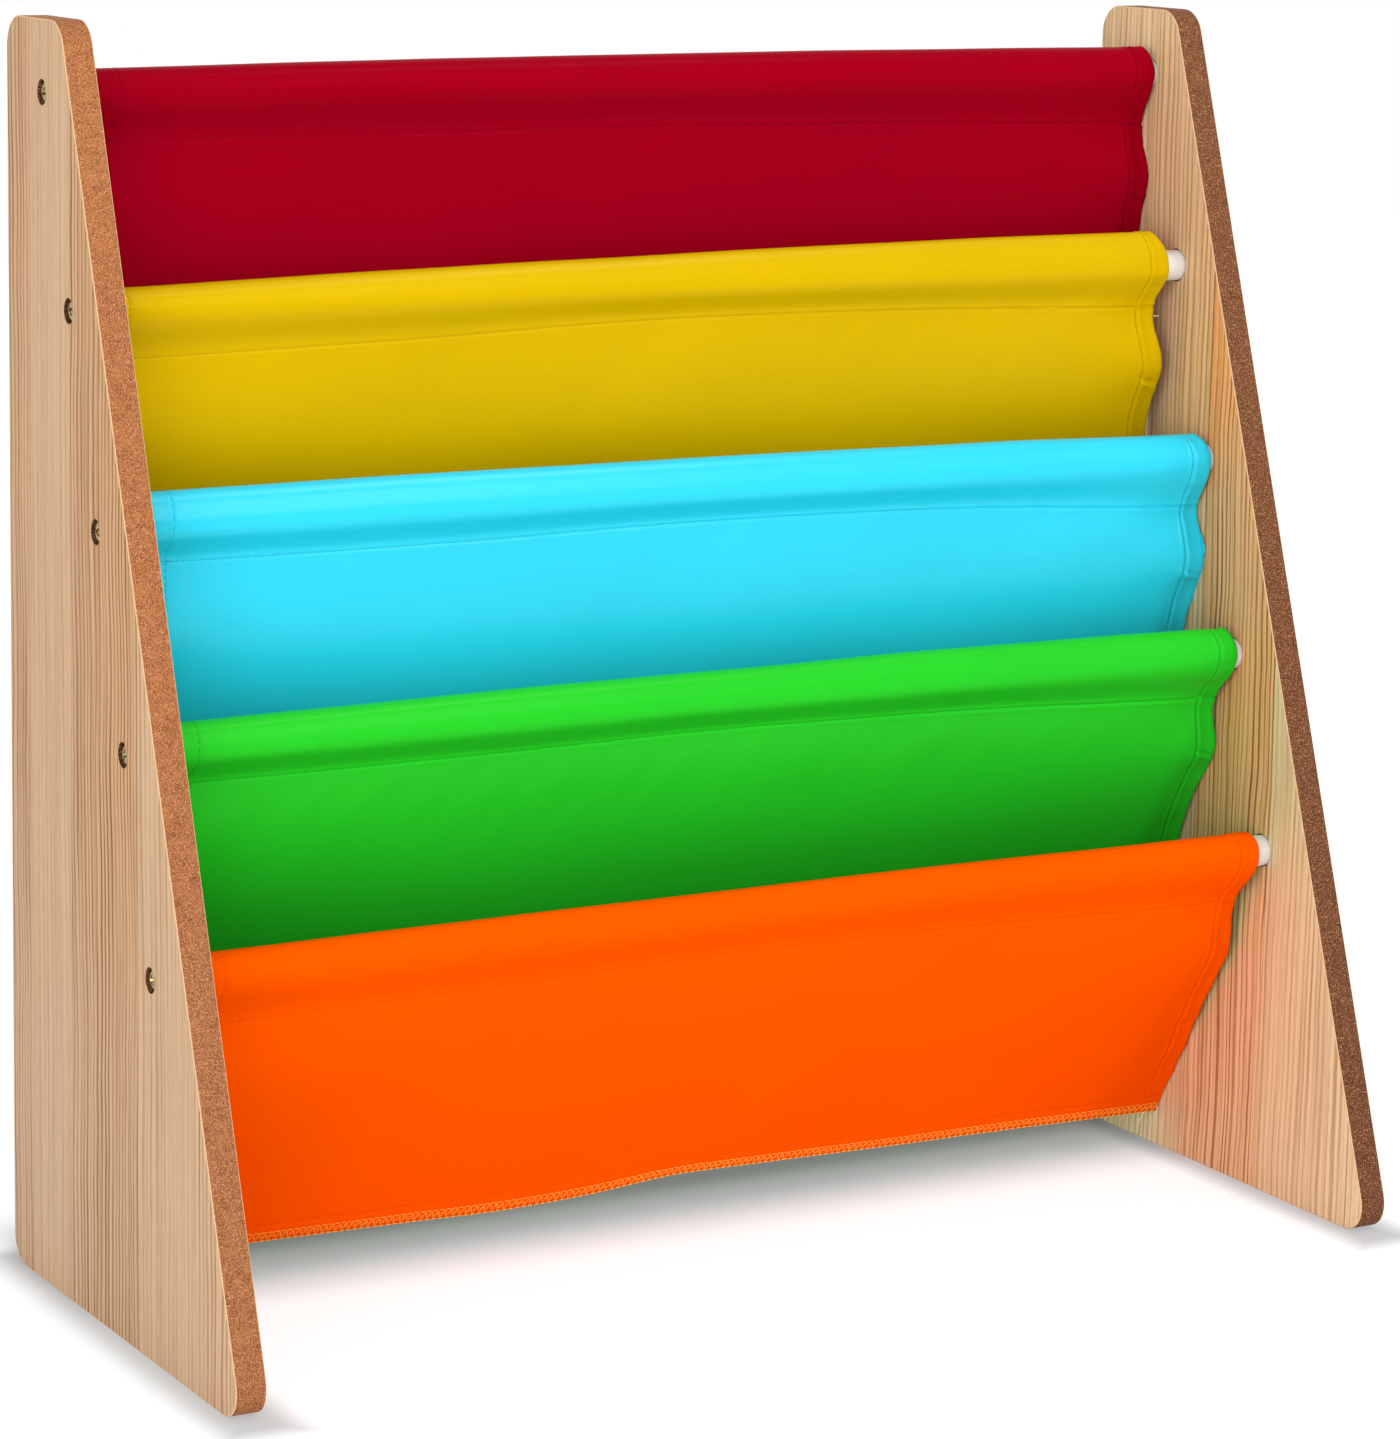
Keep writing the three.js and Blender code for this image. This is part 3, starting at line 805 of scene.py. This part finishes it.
        # its stitching pulls a groove between two ridges, and the hem puckers and creases
        slack_end = (0.15 + 0.85 * side) * (0.1 + 0.9 * free)
        height += 0.5 * MM * near(from_edge - 1.9 * MM, 1.1 * MM) * slack_end
        for offset, rise in ((1.7, 0.35), (0, -0.75), (-1.8, 0.4)):
            height += rise * MM * near(from_edge - hem_stitching - offset * MM, 0.8 * MM) * slack_end
        pucker = wander(row, 9 * MM, seed + side) + 0.5 * wander(row, 4.5 * MM, seed + side + 9)
        height += 0.95 * MM * pucker * near(from_edge - 7 * MM, 6.5 * MM) * slack_end
        if x > 0:
            for offset, rise in ((-0.9, -1.1), (1.3, 0.8)):
                across_hem = row - self.crease - offset * MM + 0.35 * (from_edge - 6 * MM)
                height += rise * MM * near(across_hem, 1.1 * MM) * near(from_edge - 6 * MM, 5 * MM)
        # the casing's seam is a groove between small ridges, plainest at the right, and it gathers
        rightwards = 0.65 + 0.35 * x / (sling_width / 2)
        for offset, rise in ((-1.4, 0.2), (0, -0.75), (1.6, 0.4)):
            height += rise * MM * near(row - self.front_seam - offset * MM, 0.7 * MM) * rightwards
        # the other seams are single grooves
        for seam in (self.back_seam, *self.pocket_seams):
            height -= 0.35 * MM * near(row - seam, 1.1 * MM)
        for seam, gathered in ((self.front_seam, 0.36), (self.back_seam, 0.28), (self.length, 0.12)):
            gather = wander(x, 13 * MM, seed + seam * 31) + 0.5 * wander(x, 6 * MM, seed + seam * 53)
            height += gathered * MM * gather * near(row - seam, 6 * MM) * rightwards
        # slack in the hanging cloth, and slanting drags below its casing
        if row > self.front_seam:
            fallen = row - self.front_seam
            slack = min(1, fallen / (35 * MM)) * free
            spot = Vector((x / (120 * MM) + seed, row / (70 * MM), seed))
            height += 1.3 * MM * noise.noise(spot) * slack
            spot = Vector((x / (45 * MM), row / (60 * MM) + seed, seed))
            height += 0.35 * MM * noise.noise(spot) * slack
            drag = wander(x + 0.9 * fallen, 24 * MM, seed + 5)
            height += 0.30 * MM * drag * min(1, fallen / (8 * MM)) * near(fallen, 45 * MM) * free
        elif row > self.back_seam:
            spot = Vector((x / (70 * MM) + seed, row / (40 * MM), seed + 4))
            height += 0.35 * MM * noise.noise(spot)
        return height

    def at(self, row, x, face=1):
        """A point on the outer face, or with face -1 on the inner one, and the normal there."""
        r, c = cell(self.rows, row), cell(self.columns, x)
        down = (row - self.rows[r - 1]) / (self.rows[r] - self.rows[r - 1])
        across = (x - self.columns[c - 1]) / (self.columns[c] - self.columns[c - 1])
        upper = self.grid[r - 1][c - 1].lerp(self.grid[r - 1][c], across)
        lower = self.grid[r][c - 1].lerp(self.grid[r][c], across)
        normal = self.normals[r - 1][c - 1].lerp(self.normals[r][c], 0.5).normalized()
        point = upper.lerp(lower, down)
        return (point, normal) if face > 0 else (point - normal * self.thickness(row, x), -normal)

    def thickness(self, row, x):
        """The hems are thicker than the cloth, except in the folded-in end of the casing."""
        beyond_hem = sling_width / 2 - abs(x) - 12.8 * MM
        folded = 0 if row < self.back_seam + 1 * MM else 1 - min(1, max(0, beyond_hem / (0.8 * MM)))
        return cloth + (hem_thickness - cloth) * folded


def scaled(tone, share):
    """A darker or paler tone of the same colour."""
    return tuple(min(1, level * share) for level in tone[:3]) + (1,)


def cloth_finish(name, tone, sheen, sheen_tint):
    """Close-woven polyester: fine threads, a soft sheen, and a slight change of colour in soft random
    patches.
    """
    weave = Finish(name)
    u, v, _ = weave.parts(weave.level(weave.node("ShaderNodeUVMap", uv_map="UVMap")))
    threads_per_metre = 9000
    threads = (u * threads_per_metre).math("SINE") * (v * threads_per_metre).math("SINE")
    slub = weave.streaks(u * 260, v * 900, 0)
    cloudy = weave.streaks(u * 9, v * 14, 0)
    return weave.surface({
        "Base Color": weave.mix(slub * 0.35 + cloudy * 0.65, scaled(tone, 0.86), scaled(tone, 1.08)),
        "Roughness": cloudy * 0.06 + 0.22,
        "Specular IOR Level": sheen,
        "Specular Tint": sheen_tint,
        "Normal": weave.bump(threads * 0.5 + slub, 0.10, 0.12 * MM),
    })


def lay_cloth(sling, name, material):
    """The cloth itself: a flat grid cut to size, laid over the sling's shape and given its thickness."""
    rows, columns = sling.rows, sling.columns
    across, down = len(columns) - 1, len(rows) - 1
    piece = primitive(bpy.ops.mesh.primitive_grid_add, x_subdivisions=across, y_subdivisions=down, size=1)
    piece.name = name
    mesh = piece.data
    spot_of = [(round((0.5 - v.co.y) * down), round((v.co.x + 0.5) * across)) for v in mesh.vertices]
    group = piece.vertex_groups.new(name="thickness")
    for vertex, (r, c) in zip(mesh.vertices, spot_of):
        vertex.co = sling.grid[r][c]
        group.add([vertex.index], sling.thickness(rows[r], columns[c]) / hem_thickness, "REPLACE")
    flat = mesh.uv_layers.active
    flat.name = "UVMap"
    for corner in mesh.loops:
        r, c = spot_of[corner.vertex_index]
        flat.data[corner.index].uv = (columns[c], rows[r])
    mesh.update()
    apply_modifier(piece, "SOLIDIFY", thickness=hem_thickness, offset=-1, vertex_group="thickness",
                   thickness_vertex_group=0.0)
    bpy.ops.object.shade_smooth()
    mesh.materials.append(material)
    return piece


class Stitching:
    """Many threads of one colour, gathered into one mesh from copies of one small stitch."""

    def __init__(self):
        stitch = primitive(bpy.ops.mesh.primitive_ico_sphere_add, subdivisions=1, radius=1)
        self.points = [vertex.co.copy() for vertex in stitch.data.vertices]
        self.corners = [tuple(face.vertices) for face in stitch.data.polygons]
        bpy.data.objects.remove(stitch)
        self.vertices, self.faces = [], []

    def add(self, start, end, normal, width=0.24 * MM):
        along = (end - start) / 2
        side = along.cross(normal).normalized()
        up = side.cross(along).normalized()
        first = len(self.vertices)
        middle = (start + end) / 2 + normal * 0.08 * MM
        for point in self.points:
            across = side * point.y * width + up * point.z * width
            self.vertices.append(middle + along * point.x * 1.05 + across)
        self.faces += [tuple(first + corner for corner in face) for face in self.corners]

    def line(self, at, start, end, pitch=3 * MM):
        """A row of stitches from one place to another; at() gives the point and normal at a place."""
        count = max(1, round(abs(end - start) / pitch))
        step = (end - start) / count
        half_gap = math.copysign(0.375 * MM, step)
        for k in range(count):
            near_end, normal = at(start + step * k + half_gap)
            far_end, _ = at(start + step * (k + 1) - half_gap)
            self.add(near_end, far_end, normal)

    def overlock(self, at, edge, start, end):
        """Threads looped over a raw edge: slanting legs from a row of stitches, and a cord of loops."""
        depth, pitch = 5.6 * MM, 3.6 * MM
        loose = random.Random(round(edge * 10000))
        count = round((end - start) / pitch)
        places = [start + (end - start) * k / count for k in range(count)]
        for face in (1, -1):
            for x in places:
                top = edge - depth + loose.uniform(-0.5, 0.5) * MM
                foot = x + (0.3 + loose.uniform(-0.15, 0.15)) * pitch
                high, normal = at(top, x, face)
                low, _ = at(edge, foot, face)
                on, _ = at(edge - depth, x + pitch, face)
                self.add(high, low, normal, 0.30 * MM)
                self.add(low, on, normal, 0.26 * MM)
                self.add(at(edge - depth, x, face)[0], on, normal, 0.26 * MM)
        for x in places:
            low, normal = at(edge, x, 1)
            self.add(low, at(edge, x + pitch, 1)[0], normal, 0.40 * MM)

    def strand(self, start, *offsets):
        """A loose end of thread, along a few offsets in millimetres from a point."""
        points = [start + Vector(offset) * MM for offset in offsets]
        for before, after in zip(points, points[1:]):
            self.add(before, after, Vector((0, -1, 0)), 0.34 * MM)

    def piece(self, name, material):
        mesh = bpy.data.meshes.new(name)
        mesh.from_pydata(self.vertices, [], self.faces)
        mesh.materials.append(material)
        threads = bpy.data.objects.new(name, mesh)
        bpy.context.scene.collection.objects.link(threads)
        select_only(threads)
        bpy.ops.object.shade_smooth()
        return threads


def thread_finish(name, tone):
    thread = Finish(name)
    fuzz = thread.noise(thread.place(), 2600)
    return thread.surface({
        "Base Color": thread.mix(fuzz, scaled(tone, 0.8), tone),
        "Roughness": fuzz * 0.2 + 0.5,
        "Specular IOR Level": 0.08,
    })


# cloth, its stitches, the thread over its raw edge, and how strong its sheen is and of what tint
tones = {
    "red": (linear(152, 0, 26), linear(150, 0, 28), linear(190, 30, 50), 0.02, (1, 0.2, 0.3, 1)),
    "yellow": (linear(210, 172, 0), linear(200, 160, 0), linear(245, 215, 70), 0.15, (1, 0.9, 0.1, 1)),
    "blue": (linear(38, 207, 236), linear(40, 196, 228), linear(130, 235, 250), 0.22, (1, 1, 1, 1)),
    "green": (linear(36, 198, 36), linear(32, 180, 30), linear(90, 225, 80), 0.12, (0.5, 1, 0.5, 1)),
    "orange": (linear(254, 88, 0), linear(255, 96, 10), linear(255, 182, 72), 0.0, (1, 1, 1, 1)),
}
loose_white = thread_finish("thread_loose", linear(255, 244, 224))
for index, form in enumerate(slings):
    colour_name = form["name"]
    cloth_tone, thread_tone, edging_tone, *sheen = tones[colour_name]
    sling = Sling(index)
    piece = lay_cloth(sling, f"cloth_{colour_name}", cloth_finish(f"cloth_{colour_name}", cloth_tone, *sheen))
    seams = Stitching()
    half = sling_width / 2
    sewn = half - 1 * MM
    for seam in (sling.front_seam, sling.back_seam):
        seams.line(lambda x: sling.at(seam, x), -sewn, sewn)
        # both ends are backstitched over the hem
        for end in (-1, 1):
            for offset in (-0.9, 0.9):
                beside = seam + offset * MM
                seams.line(lambda x: sling.at(beside, x), end * sewn, end * (half - 14 * MM), 2.4 * MM)
    for seam in sling.pocket_seams:
        for face in (1, -1):
            seams.line(lambda x: sling.at(seam, x, face), -sewn, sewn)
    for end in (-1, 1):
        x = end * (half - hem_stitching)
        for face, start in ((1, sling.back_seam), (-1, sling.front_seam)):
            seams.line(lambda row: sling.at(row, x, face), start, sling.length - 1 * MM)
    edging = Stitching()
    edging.overlock(sling.at, sling.length - 0.2 * MM, -sewn, sewn)
    trims = [
        seams.piece(f"stitches_{colour_name}", thread_finish(f"thread_{colour_name}", thread_tone)),
        edging.piece(f"edging_{colour_name}", thread_finish(f"edging_{colour_name}", edging_tone)),
    ]
    # a few thread ends were left untrimmed at the right-hand corners
    ends = Stitching()
    if colour_name == "yellow":
        start, _ = sling.at(sling.front_seam + 5 * MM, half - 0.3 * MM)
        ends.strand(start, (0, 0, 0), (1.6, -0.8, 0.2), (3, -1.2, -0.1))
    if colour_name == "orange":
        start, _ = sling.at(sling.length, half - 0.8 * MM)
        ends.strand(start, (-0.2, -1.2, 6.5), (0.5, -1, 3), (0.3, -0.8, 0), (0.5, -0.8, -2.2),
                    (0.2, -0.8, -4.2))
        start, _ = sling.at(sling.length, half - 9 * MM)
        ends.strand(start, (1, -0.6, 0.8), (-0.4, -0.8, -0.8), (-1.8, -1, -2.4), (-3, -1.2, -4.2),
                    (-3.8, -1.2, -6.4))
    if ends.vertices:
        trims.append(ends.piece(f"loose_ends_{colour_name}", loose_white))
    for thing in (piece, *trims):
        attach(thing, "root")
    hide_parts(f"sling_{colour_name}")

# Screws: yellow-passivated steel machine screws with a domed head and a cross recess. They go through
# the panels from outside into the inserts, with their heads sunk below the laminate.
head_radius, shank_radius, point_radius = 5.8 * MM, 2.95 * MM, 1.75 * MM
dome, rim = 2.1 * MM, 1.1 * MM
shank_length, point_length = 18.4 * MM, 1.2 * MM
steel = Finish("screw_steel")
smudge = steel.noise(steel.place(), 240)
scratches = steel.noise(steel.place(), 1900)
screw_steel = steel.surface({
    "Base Color": steel.mix(smudge, linear(130, 106, 64), linear(200, 176, 126)),
    "Metallic": 1.0,
    "Roughness": scratches * 0.14 + 0.20,
    "Normal": steel.bump(scratches, 0.12, 0.1 * MM),
})


def at_tip(face):
    return face.normal.x > 0.99 and len(face.verts) > 8


def shape_screw():
    """One screw along +X, with the widest part of its head at the origin."""
    screw = primitive(
        bpy.ops.mesh.primitive_uv_sphere_add, segments=48, ring_count=24, radius=head_radius,
        rotation=(0, math.pi / 2, 0),
    )
    screw.name = "screw"
    screw.scale = (dome / head_radius, 1, 1)
    settle(screw)
    edit(screw, "FACE", lambda f: True, bpy.ops.mesh.bisect,
         plane_co=(0, 0, 0), plane_no=(1, 0, 0), use_fill=True, clear_outer=True)
    extrude(screw, at_tip, rim)
    edit(screw, "FACE", at_tip, bpy.ops.mesh.inset, thickness=head_radius - shank_radius)
    extrude(screw, at_tip, shank_length)
    extrude(screw, at_tip, point_length)
    taper = point_radius / shank_radius
    edit(screw, "FACE", at_tip, bpy.ops.transform.resize, value=(1, taper, taper))
    # the cross recess, tapered towards its floor
    wings = []
    for turn in (0, math.pi / 2):
        wing = primitive(
            bpy.ops.mesh.primitive_cube_add, scale=(3 * MM, 6.2 * MM, 1.4 * MM), size=1,
            location=(-dome + 0.5 * MM, 0, 0),
        )
        edit(wing, "FACE", lambda f: f.normal.x > 0.99, bpy.ops.transform.resize, value=(1, 0.5, 0.7))
        wing.rotation_euler = (turn, 0, 0)
        settle(wing)
        wings.append(wing)
    for wing in wings:
        apply_modifier(screw, "BOOLEAN", object=wing, operation="DIFFERENCE", solver="EXACT")
        bpy.data.objects.remove(wing)
    smooth(screw, 40)
    return screw


pattern = shape_screw()
spin = random.Random(5)
for number, (y, z) in enumerate(rod_places, start=1):
    for side_name, side in sides:
        screw = bpy.data.objects.new(f"bolt_{number}_{side_name}", pattern.data.copy())
        bpy.context.scene.collection.objects.link(screw)
        low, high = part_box(f"screw_{number}_{side_name}")
        crown = low.x if side < 0 else high.x
        turned = Matrix.Rotation(spin.uniform(0, math.pi), 4, "X")
        facing = Matrix.Identity(4) if side < 0 else Matrix.Rotation(math.pi, 4, "Z")
        screw.data.transform(Matrix.Translation((crown - side * dome, y, z)) @ facing @ turned)
        screw.data.materials.append(screw_steel)
        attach(screw, "root")
        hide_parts(f"screw_{number}_{side_name}")
bpy.data.objects.remove(pattern)
